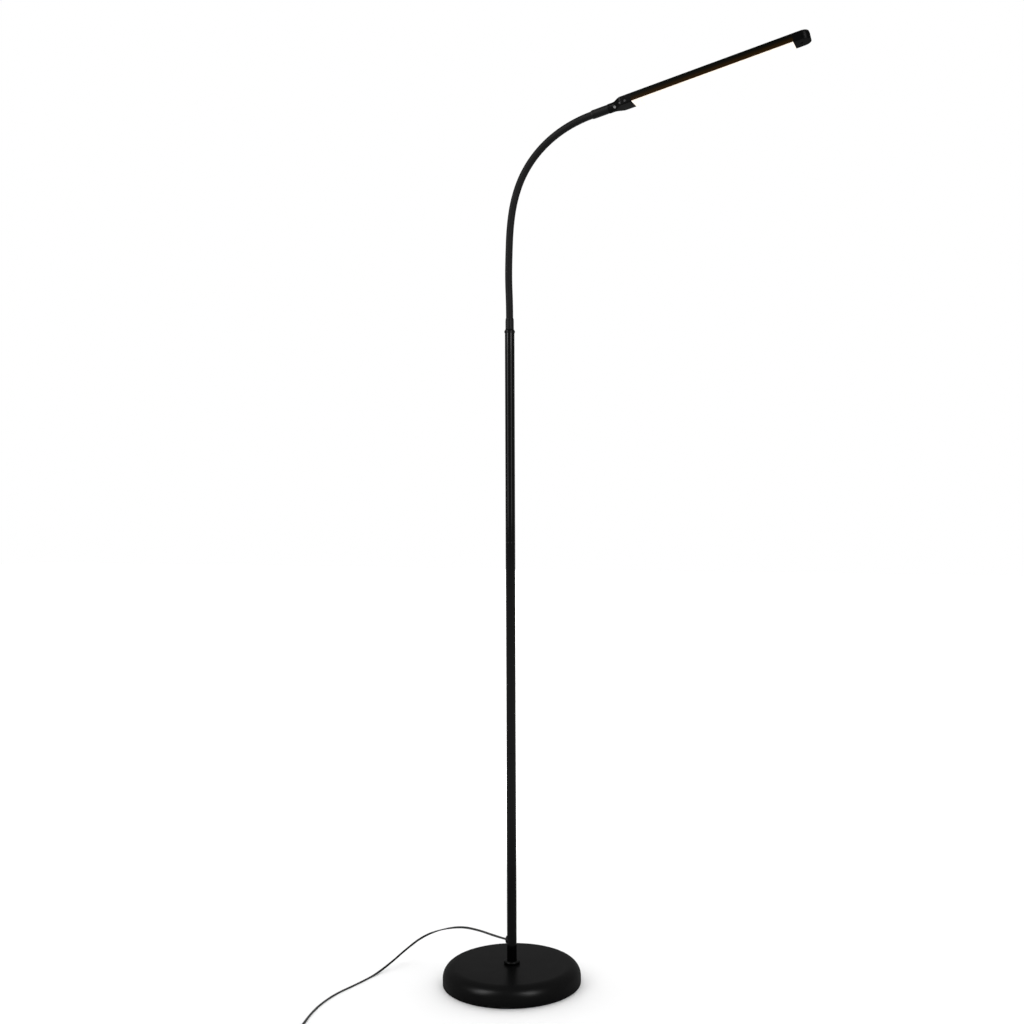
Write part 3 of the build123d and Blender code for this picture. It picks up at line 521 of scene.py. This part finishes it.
def head_plastic(name, dark, light, coat, coat_rough=0.3):
    """The head's moulded plastic: nearly black, with a faint sheen and a fine texture."""
    return sheened(name, dark, light, blotch=70, rough=(0.55, 0.15), coat=coat, coat_blotch=90,
                   coat_rough=coat_rough, grain=(1800, 2.0, 0.4, 0.00005))


head_black, _ = head_plastic("head_black", grey(0.0016), grey(0.0026), coat=(0.05, 0.02))
keep_form("control_shell", "control_housing", head_black, "head")

# ---------------------------------------------------------------- touch keys
# Three smooth round pads in the near flank. They feel a finger through the plastic and
# don't move. Their grey tones are painted highlights, palest on the first and largest.

for name, tone in (("key_power", 0.2), ("key_dimmer", 0.055), ("key_colour", 0.03)):
    # Each key's tone is a painted highlight, not the key's own colour
    key_glint_grey = mottled(name + "_grey", grey(tone), (tone * 1.3, tone * 1.3, tone * 1.32, 1),
                       blotch=400, rough=0.4, grain=2500, depth=0.00002, Specular_IOR_Level=0.12)
    keep_form(name.replace("key", "touch"), name, key_glint_grey, "head")

# ---------------------------------------------------------------- boards and LEDs
# The control board, its pin header, and the long white board with its row of LEDs in
# their reflector.

board_green = mottled("board_green", (0.01, 0.06, 0.02, 1), (0.02, 0.1, 0.035, 1),
                      blotch=260, rough=0.35, grain=1500, depth=0.00003)
dress(board_green, "control_board")
header_black = mottled("header_black", grey(0.01), grey(0.02),
                       blotch=300, rough=0.5, grain=2000, depth=0.00002)
dress(header_black, "board_header")
board_white = mottled("board_white", (0.72, 0.72, 0.7, 1), (0.8, 0.8, 0.78, 1),
                      blotch=200, rough=0.35, grain=1500, depth=0.00002)
dress(board_white, "led_board")
led_phosphor = mottled("led_phosphor", (0.75, 0.6, 0.12, 1), (0.85, 0.72, 0.2, 1),
                       blotch=900, rough=0.3, grain=3000, depth=0.00001)
dress(led_phosphor, "led_chips")
tray_white = mottled("tray_white", (0.76, 0.76, 0.74, 1), (0.82, 0.82, 0.8, 1),
                     blotch=120, rough=0.25, grain=1500, depth=0.00002)
dress(tray_white, "light_tray")

# ---------------------------------------------------------------- light bar
# A long black channel with a slim rounded top. The warm light that the diffuser spills on
# to the lower half of its flanks is painted into their colour.

MIDDLE_UP = 0.0011          # the channel's middle above the line along the head
PAINTED_SPILL_TOP = 0.003           # the warm spill ends this far above the middle
PAINTED_SPILL_FULL = 0.0065         # and is full this far below it
PAINTED_SPILL_BROWN = (0.024, 0.0105, 0.0008, 1)

bar_black, black = head_plastic("bar_black", (0.0012, 0.0013, 0.0005, 1), (0.0018, 0.0020, 0.0008, 1),
                                coat=(0.04, 0.015))
tilt = radians(head_tilt)
level = object_place(black, turn=(0, tilt, 0)).axis(2)
middle = -head_start.x * sin(tilt) + head_start.y * cos(tilt) + MIDDLE_UP
# Painted light: below the middle the flanks turn warm brown, standing in for the diffuser's spill
feed(bar_black, "Base Color", level.ramp(middle + PAINTED_SPILL_TOP, middle - PAINTED_SPILL_FULL).mix(black, PAINTED_SPILL_BROWN))
keep_form("light_bar", "bar_housing", bar_black, "head")

# ---------------------------------------------------------------- diffuser
# A strip of opal acrylic clipped into the channel. It glows warm white, a little
# brighter along its middle, where the LEDs are.

CORE_EDGE, CORE_FULL = 0.015, 0.004         # across the strip, from its middle
FIRST_LED, LEDS_FULL = 0.045, 0.075         # along it, from the start of the head

opal, glow = new_finish("opal_diffuser", Roughness=0.45, Emission_Strength=0.4)
place = object_place(glow)
core = abs(place.axis(1)).ramp(CORE_EDGE, CORE_FULL)
along = object_place(glow, shift=(-head_start.x, 0, 0)).axis(0).ramp(FIRST_LED, LEDS_FULL)
lit = core.mix((1.0, 0.78, 0.64, 1), (1.0, 0.86, 0.76, 1))
feed(opal, "Base Color", glow.noise(place, 30).mix((0.72, 0.69, 0.62, 1), (0.76, 0.73, 0.66, 1)))
feed(opal, "Emission Color", along.mix((1.0, 0.72, 0.58, 1), lit))
raise_grain(opal, glow.noise(place, 1200, 2.0), 0.2, 0.00002)
keep_form("opal_cover", "diffuser", opal, "head")

# ---------------------------------------------------------------- tip of the bar
# A moulded cap with rounded corners closes the bar. One screw, sunk in its underside,
# holds it.

cap_black, _ = head_plastic("cap_black", grey(0.0010), grey(0.0018), coat=(0.036, 0.01), coat_rough=0.35)
keep_form("tip_cap", "end_cap", cap_black, "head")
screw_black = mottled("screw_black", grey(0.02), grey(0.04),
                      blotch=900, rough=0.35, grain=4000, depth=0.00001, Metallic=0.9)
dress(screw_black, "end_screw")

# ---------------------------------------------------------------- supply lead
# A flat black twin lead leaves the bush, arches over the base's edge to the floor and
# runs off to the left. What the photograph doesn't show is wound in a neat coil.

CORD_R = 0.00185            # half its width
CORE_R = 0.00105            # each of its two insulated cores
CORE_OFF = CORD_R - CORE_R
LEAD_LOW = CORE_R           # its centre's height where it lies flat on the floor
BUSH_FACE = (-0.0108, 0.0, 0.0705)
ROUTE = (
    (-0.031, 0.0, 0.0735), (-0.062, 0.0050, 0.0780), (-0.101, 0.0170, 0.0762), (-0.148, 0.034, 0.0605),
    (-0.188, 0.0455, 0.0405), (-0.212, 0.033, 0.0210), (-0.220, -0.003, 0.0105), (-0.229, -0.046, LEAD_LOW),
    (-0.237, -0.097, LEAD_LOW), (-0.249, -0.147, LEAD_LOW), (-0.2495, -0.194, LEAD_LOW),
    (-0.2425, -0.237, LEAD_LOW), (-0.231, -0.276, CORD_R), (-0.2225, -0.3095, CORD_R),
)
LEAD_HEADING = radians(290)
COIL_TAIL = 0.026           # its straight run before the coil
COIL_R = 0.0214
COIL_PITCH = 0.0038
TURNS_PER_LAYER = 3
COIL_LAYERS = 4
CLIMB = 0.25                # turns on either side of a reversal in which it climbs a layer
POINTS_PER_TURN = 16
END_START = 0.004           # its straight end, measured from the coil
END_RUN = 0.016
INSIDE = 0.045              # how far the lead goes on inside the sleeve and the adapter

# How far its broad side is turned up from level, after so many metres of lead
TWISTS = ((0.0, 25), (0.045, 90), (0.09, 70), (0.142, 0), (0.19, 80), (0.21, 90), (0.26, 85), (0.32, 0),
          (0.50, 0), (0.57, 90), (9.0, 90))


def eased(share):
    """A share from 0 to 1 with a soft start and end."""
    return share * share * (3 - 2 * share)


def coil_point(turns):
    """A point of the coil's line after so many turns, entered heading along -Y."""
    layer = min(COIL_LAYERS - 1, int(turns / TURNS_PER_LAYER))
    inside = turns - layer * TURNS_PER_LAYER
    inwards = inside if layer % 2 == 0 else TURNS_PER_LAYER - inside
    radius = COIL_R - inwards * COIL_PITCH
    nearest = round(turns / TURNS_PER_LAYER)
    off = turns - nearest * TURNS_PER_LAYER
    if 0 < nearest < COIL_LAYERS and abs(off) < CLIMB:
        edge = COIL_R - (TURNS_PER_LAYER - CLIMB if nearest % 2 else CLIMB) * COIL_PITCH
        bulge = (CLIMB - off * off / CLIMB) * COIL_PITCH / 2
        radius = edge - bulge if nearest % 2 else edge + bulge
        layer = nearest - 1 + eased((off + CLIMB) / (2 * CLIMB))
    radius /= cos(pi / POINTS_PER_TURN)
    angle = 2 * pi * turns + pi
    return Vector((radius * cos(angle), radius * sin(angle), CORD_R + layer * COIL_PITCH))


def twist_at(run):
    """The lead's turn round its own line after a run of so many metres, in radians."""
    for (before, first), (after, second) in zip(TWISTS, TWISTS[1:]):
        if run <= after:
            return radians(first + (second - first) * eased((run - before) / (after - before)))
    return radians(TWISTS[-1][1])


def twin_section():
    """The outline of two cores side by side, as (across, up) points."""
    meet = pi - acos(CORE_OFF / CORE_R)
    angles = [meet * (i / 4 - 1) for i in range(9)]
    right = [(CORE_OFF + CORE_R * cos(a), CORE_R * sin(a)) for a in angles]
    return right + [(-x, -z) for x, z in right[1:-1]]


lead_way = Vector((cos(LEAD_HEADING), sin(LEAD_HEADING), 0))
entry = Vector(ROUTE[-1]) + lead_way * COIL_TAIL
centre = entry + Matrix.Rotation(pi / 2, 3, "Z") @ lead_way * COIL_R
to_place = (Matrix.Translation((centre.x, centre.y, 0))
            @ Matrix.Rotation(LEAD_HEADING - radians(270), 4, "Z"))
coil_turns = TURNS_PER_LAYER * COIL_LAYERS
wound = [to_place @ coil_point((i + 0.5) / POINTS_PER_TURN) for i in range(POINTS_PER_TURN * coil_turns)]
loose_end = coil_point(coil_turns)
loose_end.x = -COIL_R
last_run = [to_place @ (loose_end - Vector((0, y, 0))) for y in (END_START, END_RUN, END_RUN + INSIDE)]
line = [Vector(BUSH_FACE)] + [Vector(p) for p in ROUTE] + wound + last_run

cord_skin, skin = new_finish("cord_skin", Specular_IOR_Level=0.2, Roughness=0.45)
place = object_place(skin)
feed(cord_skin, "Base Color", skin.noise(place, 90).mix(grey(0.004), grey(0.008)))
raise_grain(cord_skin, skin.noise(place, 1500, 2.0), 0.3, 0.00004)

curve = bpy.data.curves.new("lead_line", "CURVE")
curve.dimensions = "3D"
spline = curve.splines.new("NURBS")
spline.points.add(len(line) - 1)
for point, spot in zip(spline.points, line):
    point.co = (*spot, 1)
spline.order_u = 3
spline.use_endpoint_u = True
spline.resolution_u = 6
lead_line = bpy.data.objects.new("lead_line", curve)
traced = [v.co.copy() for v in bpy.data.meshes.new_from_object(lead_line).vertices]
bpy.data.objects.remove(lead_line)

# The section is swept along the traced line, turned round it as TWISTS says
bm = bmesh.new()
section = twin_section()
run, ring = 0.0, None
for i, spot in enumerate(traced):
    before, after = traced[max(i - 1, 0)], traced[min(i + 1, len(traced) - 1)]
    way = (after - before).normalized()
    side = way.cross(Vector((0, 0, 1))).normalized()
    up = side.cross(way)
    run += (spot - before).length
    twist = twist_at(run)
    broad = side * cos(twist) + up * sin(twist)
    thin = up * cos(twist) - side * sin(twist)
    new_ring = [bm.verts.new(spot + broad * x + thin * z) for x, z in section]
    if ring:
        for n in range(len(section)):
            bm.faces.new((ring[n - 1], ring[n], new_ring[n], new_ring[n - 1]))
    else:
        bm.faces.new(new_ring)
    ring = new_ring
bm.faces.new(ring)
bmesh.ops.recalc_face_normals(bm, faces=bm.faces)
lead = settle("supply_lead", bm, cord_skin, "stand", "cord", "cord_coil", sharp=50)

# ---------------------------------------------------------------- plug-in adapter
# A black moulded power adapter of two shells, with finger grips and two round pins whose
# roots are insulated, and a ribbed sleeve where the lead goes in.

SLEEVE_L = 0.020
SLEEVE_R = 0.0026           # at its mouth
SLEEVE_ROOT_R = 0.0042
SLEEVE_BORE_R = 0.0016
RIBS = 6
RIB_STEP = 0.0028
FIRST_RIB = 0.0016
RIB_DEPTH = 0.0005
RIB_SLOPE = 0.0003
BODY_L, BODY_W, BODY_T = 0.064, 0.036, 0.0255
BODY_CORNER_R = 0.004
CORNER_STEPS = 6
BODY_EDGE_R = 0.002
EDGE_MIDDLE = 0.3           # where the middle of a rounded edge lies, in shares of its radius
FLAT_RIM = 0.001            # a ring of points inside each rim keeps the flat faces' shading even
PART_LINE_Z = 0.0105        # the groove where the two shells meet
PART_LINE_W = 0.0006
RIDGES = 5                  # the finger grips on each flank
RIDGE_STEP = 0.004
FIRST_RIDGE = 0.018         # from the body's end at the sleeve
RIDGE_Z = 0.0175
RIDGE_SINK = 0.0001
RIDGE_SIZE = (0.0014, 0.0002, 0.009)
RIDGE_ROUND = 0.00006
PIN_R = 0.002
PIN_TIP = BODY_T + 0.019
PIN_TIP_ROUND = 0.001
PIN_INSIDE = 0.005          # how deep the pins go in the body
PIN_ROOT_TOP = BODY_T + 0.010
PIN_ROOT_T = 0.00005        # the thickness of a root's insulation
PIN_X = SLEEVE_L + BODY_L - 0.014
PIN_Y = 0.0095

adapter_at = (to_place @ Matrix.Translation((loose_end.x, loose_end.y - END_RUN, 0))
              @ Matrix.Rotation(-pi / 2, 4, "Z"))


def laid(bm, *, start=Matrix.Identity(4)):
    """Moves a mesh made in the adapter's own frame to where the adapter lies."""
    bmesh.ops.transform(bm, verts=bm.verts, matrix=adapter_at @ start)
    return bm


# The sleeve: a cone whose grooves leave ribs between them
outline = [(SLEEVE_BORE_R, 0.0), (SLEEVE_R, 0.0)]
for rib in range(RIBS):
    low = FIRST_RIB + rib * RIB_STEP
    high = low + RIB_STEP / 2
    wide = SLEEVE_R + (SLEEVE_ROOT_R - SLEEVE_R) * low / SLEEVE_L
    outline += [(wide, low), (wide - RIB_DEPTH, low + RIB_SLOPE), (wide - RIB_DEPTH, high - RIB_SLOPE),
                (wide, high)]
outline += [(SLEEVE_ROOT_R, SLEEVE_L), (SLEEVE_BORE_R, SLEEVE_L)]
lie = Matrix.Translation((0, 0, loose_end.z)) @ Matrix.Rotation(pi / 2, 4, "Y")
sleeve = laid(turned(outline, steps=40), start=lie)
relief = settle("lead_sleeve", sleeve, cord_skin, "stand", "adapter_relief", sharp=40)

# The body: a rounded block, drawn in at its edges and at the parting groove
bm = bmesh.new()
corners = []
for way_x, way_y, first in ((1, -1, -90), (1, 1, 0), (-1, 1, 90), (-1, -1, 180)):
    for step in range(CORNER_STEPS + 1):
        a = radians(first + 90 * step / CORNER_STEPS)
        corners.append((SLEEVE_L + BODY_L / 2 + way_x * (BODY_L / 2 - BODY_CORNER_R),
                        way_y * (BODY_W / 2 - BODY_CORNER_R), cos(a), sin(a)))
edge = [(0, BODY_EDGE_R + FLAT_RIM), (0, BODY_EDGE_R), (BODY_EDGE_R * EDGE_MIDDLE, BODY_EDGE_R * EDGE_MIDDLE),
        (BODY_EDGE_R, 0)]
parting = [(PART_LINE_Z - PART_LINE_W, 0), (PART_LINE_Z - PART_LINE_W / 2, PART_LINE_W / 2),
           (PART_LINE_Z + PART_LINE_W / 2, PART_LINE_W / 2), (PART_LINE_Z + PART_LINE_W, 0)]
rings = []
for height, drawn_in in edge + parting + [(BODY_T - z, inwards) for z, inwards in reversed(edge)]:
    reach = BODY_CORNER_R - drawn_in
    rings.append([bm.verts.new((x + c * reach, y + s * reach, height)) for x, y, c, s in corners])
for lower, upper in zip(rings, rings[1:]):
    for n in range(len(corners)):
        bm.faces.new((lower[n - 1], lower[n], upper[n], upper[n - 1]))
bm.faces.new(rings[0])
bm.faces.new(rings[-1])
bmesh.ops.recalc_face_normals(bm, faces=bm.faces)
adapter_black = mottled("adapter_black", grey(0.006), grey(0.011),
                        blotch=90, rough=0.5, grain=1400, depth=0.00008, Specular_IOR_Level=0.25)
adapter = settle("adapter_shell", laid(bm), adapter_black, "stand", "adapter_body", sharp=40)

# The finger grips: low ridges on each flank
bm = bmesh.new()
for way_y in (-1, 1):
    for ridge in range(RIDGES):
        x, y = SLEEVE_L + FIRST_RIDGE + ridge * RIDGE_STEP, way_y * (BODY_W / 2 - RIDGE_SINK)
        form = Matrix.Translation((x, y, RIDGE_Z)) @ Matrix.Diagonal((*RIDGE_SIZE, 1))
        made = bmesh.ops.create_cube(bm, size=1, matrix=form)
        edges = {e for v in made["verts"] for e in v.link_edges}
        bmesh.ops.bevel(bm, geom=list(edges), offset=RIDGE_ROUND, offset_type="OFFSET", segments=2,
                        profile=0.5, affect="EDGES", material=-1)
grips = settle("adapter_grips", laid(bm), adapter_black, "stand")

# The pins: nickel-plated tips above insulated roots
pin_metal = mottled("pin_nickel", (0.55, 0.54, 0.5, 1), (0.68, 0.67, 0.62, 1),
                    blotch=400, rough=0.25, grain=3000, depth=0.00001, Metallic=1.0)
for number, y in enumerate((-PIN_Y, PIN_Y)):
    lie = Matrix.Translation((PIN_X, y, 0))
    bm = turned([(0, BODY_T - PIN_INSIDE), (PIN_R, BODY_T - PIN_INSIDE), (PIN_R, PIN_TIP - PIN_TIP_ROUND),
                 (PIN_R * 0.85, PIN_TIP - PIN_TIP_ROUND * 0.4), (PIN_R * 0.5, PIN_TIP), (0, PIN_TIP)],
                steps=32, closed=False)
    node = ("adapter_pins",) if number == 0 else ()
    settle("plug_pin_%d" % (number + 1), laid(bm, start=lie), pin_metal, "stand", *node)
    bm = turned([(PIN_R, BODY_T), (PIN_R + PIN_ROOT_T, BODY_T), (PIN_R + PIN_ROOT_T, PIN_ROOT_TOP),
                 (PIN_R, PIN_ROOT_TOP)], steps=32)
    settle("pin_root_%d" % (number + 1), laid(bm, start=lie), adapter_black, "stand")

# ---------------------------------------------------------------- floor, light and camera
# A pale studio floor under an even white surround, with soft lamps at the front and cards
# that show only as highlights. The camera is level, a little right of the lamp's front.

NEAR_GLOW = 0.02            # what the floor adds for the eye near the lamp, so that its shadow stays
NEAR_REACH, FAR_REACH = 0.45, 1.3   # it starts to add more at the first, and is white from the second
FRONT_GLOW = 0.2            # how brightly the surround lights the lamp from the camera's side
BACK_GLOW = 2.06            # and from behind
BACK_WAY = (-0.35, 0.937)


def eye_rays(start):
    """1 for rays that the eye sees, straight, in gloss or through clear pieces, and 0 for others."""
    kinds = ("Is Camera Ray", "Is Glossy Ray", "Is Transmission Ray")
    seen, shine, through = (start.node("ShaderNodeLightPath", {}, {}, kind) for kind in kinds)
    return seen + shine + through


bm = bmesh.new()
bmesh.ops.create_grid(bm, x_segments=1, y_segments=1, size=14)
floor_white, ground = new_finish("floor_white", Roughness=0.9, Specular_IOR_Level=0.1, Emission_Strength=1.0)
floor = settle("floor", bm, floor_white, None)
place = object_place(ground)
feed(floor_white, "Base Color", ground.noise(place, 3).mix(grey(0.80), grey(0.82)))
spread = ground.node("ShaderNodeVectorMath", {"operation": "LENGTH"}, {0: place}, "Value")
far_off = spread.ramp(NEAR_REACH, FAR_REACH).mix(grey(NEAR_GLOW), grey(1))
feed(floor_white, "Emission Color", eye_rays(ground).mix(grey(0), far_off))

world = bpy.data.worlds.new("surround")
bpy.context.scene.world = world
world.use_nodes = True
sky = Shade(world.node_tree)
background = world.node_tree.nodes["Background"]
looking = sky.node("ShaderNodeTexCoord", {}, {}, "Generated")
behind = (looking.axis(1) * BACK_WAY[1] + looking.axis(0) * BACK_WAY[0]).ramp(-0.6, 0.6)
clear = eye_rays(sky)
strength = clear + (1.0 - clear) * (behind * (BACK_GLOW - FRONT_GLOW) + FRONT_GLOW)
world.node_tree.links.new(strength.socket, background.inputs["Strength"])
background.inputs["Color"].default_value = (1, 1, 1, 1)


def softbox(name, place, width, tall, power, card=False):
    """A rectangular lamp that faces the pole. A card shows only in gloss, as a highlight."""
    light = bpy.data.lights.new(name, "AREA")
    light.shape = "RECTANGLE"
    light.size, light.size_y = width, tall
    light.energy = power
    lamp = bpy.data.objects.new(name, light)
    lamp.location = place
    away = Vector((place[0], place[1], 0))
    lamp.rotation_euler = away.to_track_quat("Z", "Y").to_euler()
    lamp.visible_diffuse = not card
    bpy.context.scene.collection.objects.link(lamp)


softbox("left_softbox", (-1.45, -1.65, 2.1), 1.2, 1.8, 15)
softbox("right_softbox", (1.95, -1.35, 2.1), 1.2, 1.8, 8)
softbox("left_card", (-1.20, -1.76, 2.25), 0.8, 1.8, 110, card=True)
softbox("right_card", (1.90, -1.30, 2.25), 0.8, 1.8, 105, card=True)
softbox("left_low_card", (-1.20, -1.76, 1.04), 0.8, 0.6, 13, card=True)
softbox("right_low_card", (1.90, -1.30, 1.04), 0.8, 0.6, 10, card=True)

view = bpy.data.cameras.new("camera")
view.sensor_width = 36
view.lens = 44.26
view.shift_x = -0.046963
view.shift_y = 0.00045
camera = bpy.data.objects.new("camera", view)
camera.location = (0.8132, -1.9379, 0.783)
camera.rotation_euler = (radians(90), 0.0036, radians(20.5))
bpy.context.scene.collection.objects.link(camera)
bpy.context.scene.camera = camera
bpy.context.scene.view_settings.view_transform = "Standard"
